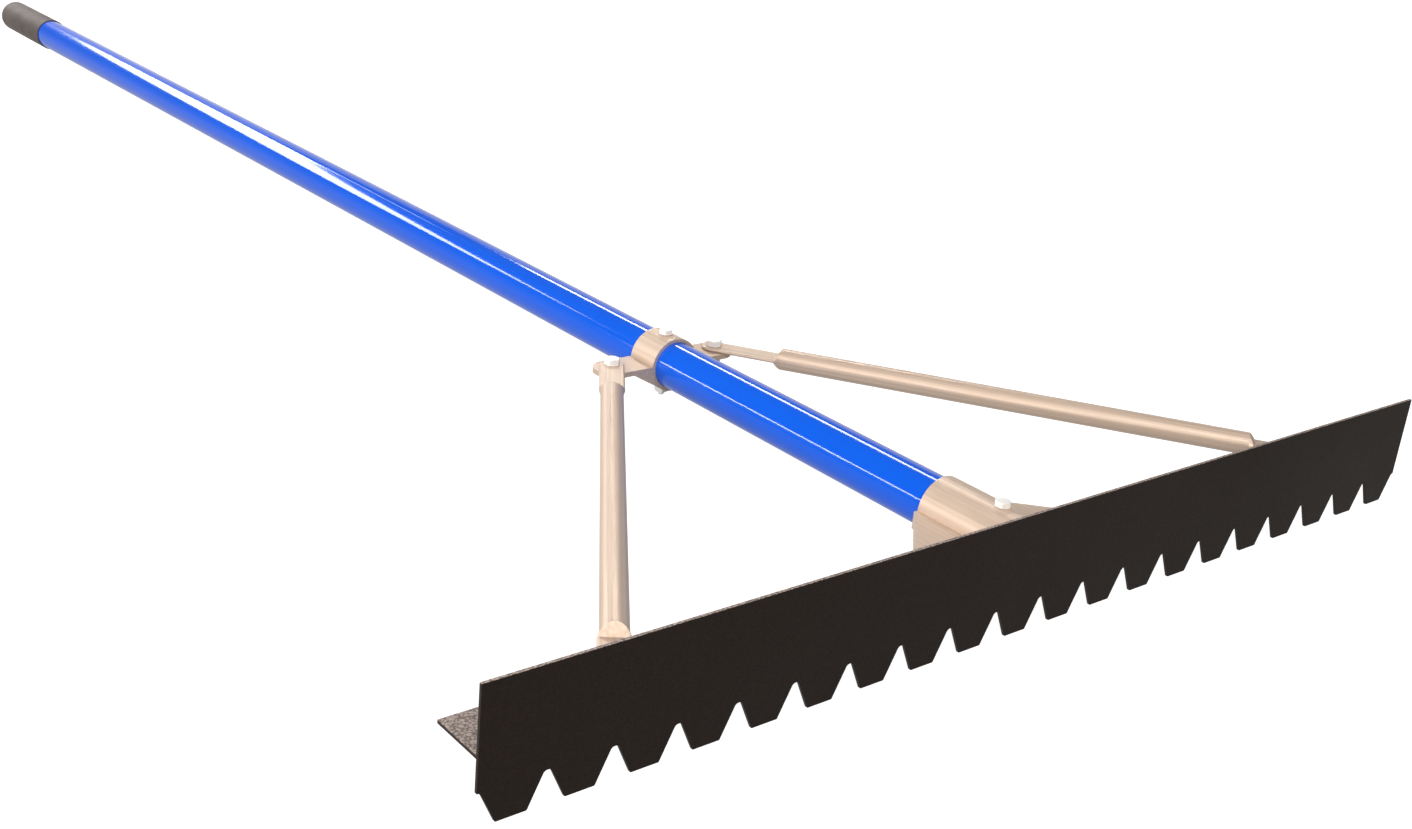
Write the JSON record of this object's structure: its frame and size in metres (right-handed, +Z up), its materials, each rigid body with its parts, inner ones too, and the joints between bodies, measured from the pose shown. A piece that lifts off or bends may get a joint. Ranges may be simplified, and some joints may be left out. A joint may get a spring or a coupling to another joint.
{
  "type": "toothed concrete rake",
  "caption": "Hand-pushed spreading rake (lute): long T-section blade with square-ended teeth, tube handle in a winged socket, two tube braces.",
  "frame": {"origin": "middle of the tool's width and length, at the level of the tooth tips", "axes": "+X along the blade, +Y from the blade towards the grip end, +Z up from the tooth tips"},
  "size_m": [0.9144, 2.1336, 0.0905],
  "materials": {
    "blade_coat": "fine textured dark brown-black powder coat",
    "handle_coat": "glossy blue coat",
    "cap_vinyl": "matte dark grey vinyl",
    "bare_aluminium": "brushed along its length, warm tone",
    "zinc_steel": "bright zinc plated"
  },
  "bodies": {
    "root": {"rake_blade": "blade_coat", "handle_tube": "handle_coat", "handle_end_cap": "cap_vinyl", "handle_socket": "bare_aluminium", "brace_collar": "bare_aluminium", "brace_left": "bare_aluminium", "brace_right": "bare_aluminium", "socket_through_bolt": "zinc_steel", "socket_through_nut": "zinc_steel", "collar_through_bolt": "zinc_steel", "collar_through_nut": "zinc_steel", "collar_brace_bolt_left": "zinc_steel", "collar_brace_bolt_right": "zinc_steel", "collar_brace_washer_left": "zinc_steel", "collar_brace_washer_right": "zinc_steel", "collar_brace_nut_left": "zinc_steel", "collar_brace_nut_right": "zinc_steel", "blade_brace_bolt_left": "zinc_steel", "blade_brace_bolt_right": "zinc_steel", "blade_brace_washer_left": "zinc_steel", "blade_brace_washer_right": "zinc_steel", "blade_brace_nut_left": "zinc_steel", "blade_brace_nut_right": "zinc_steel", "socket_wing_bolt_left": "zinc_steel", "socket_wing_bolt_right": "zinc_steel", "socket_wing_washer_left": "zinc_steel", "socket_wing_washer_right": "zinc_steel", "socket_wing_nut_left": "zinc_steel", "socket_wing_nut_right": "zinc_steel", "blade_brace_spacer_left": "bare_aluminium", "blade_brace_spacer_right": "bare_aluminium"}
  },
  "joints": []
}
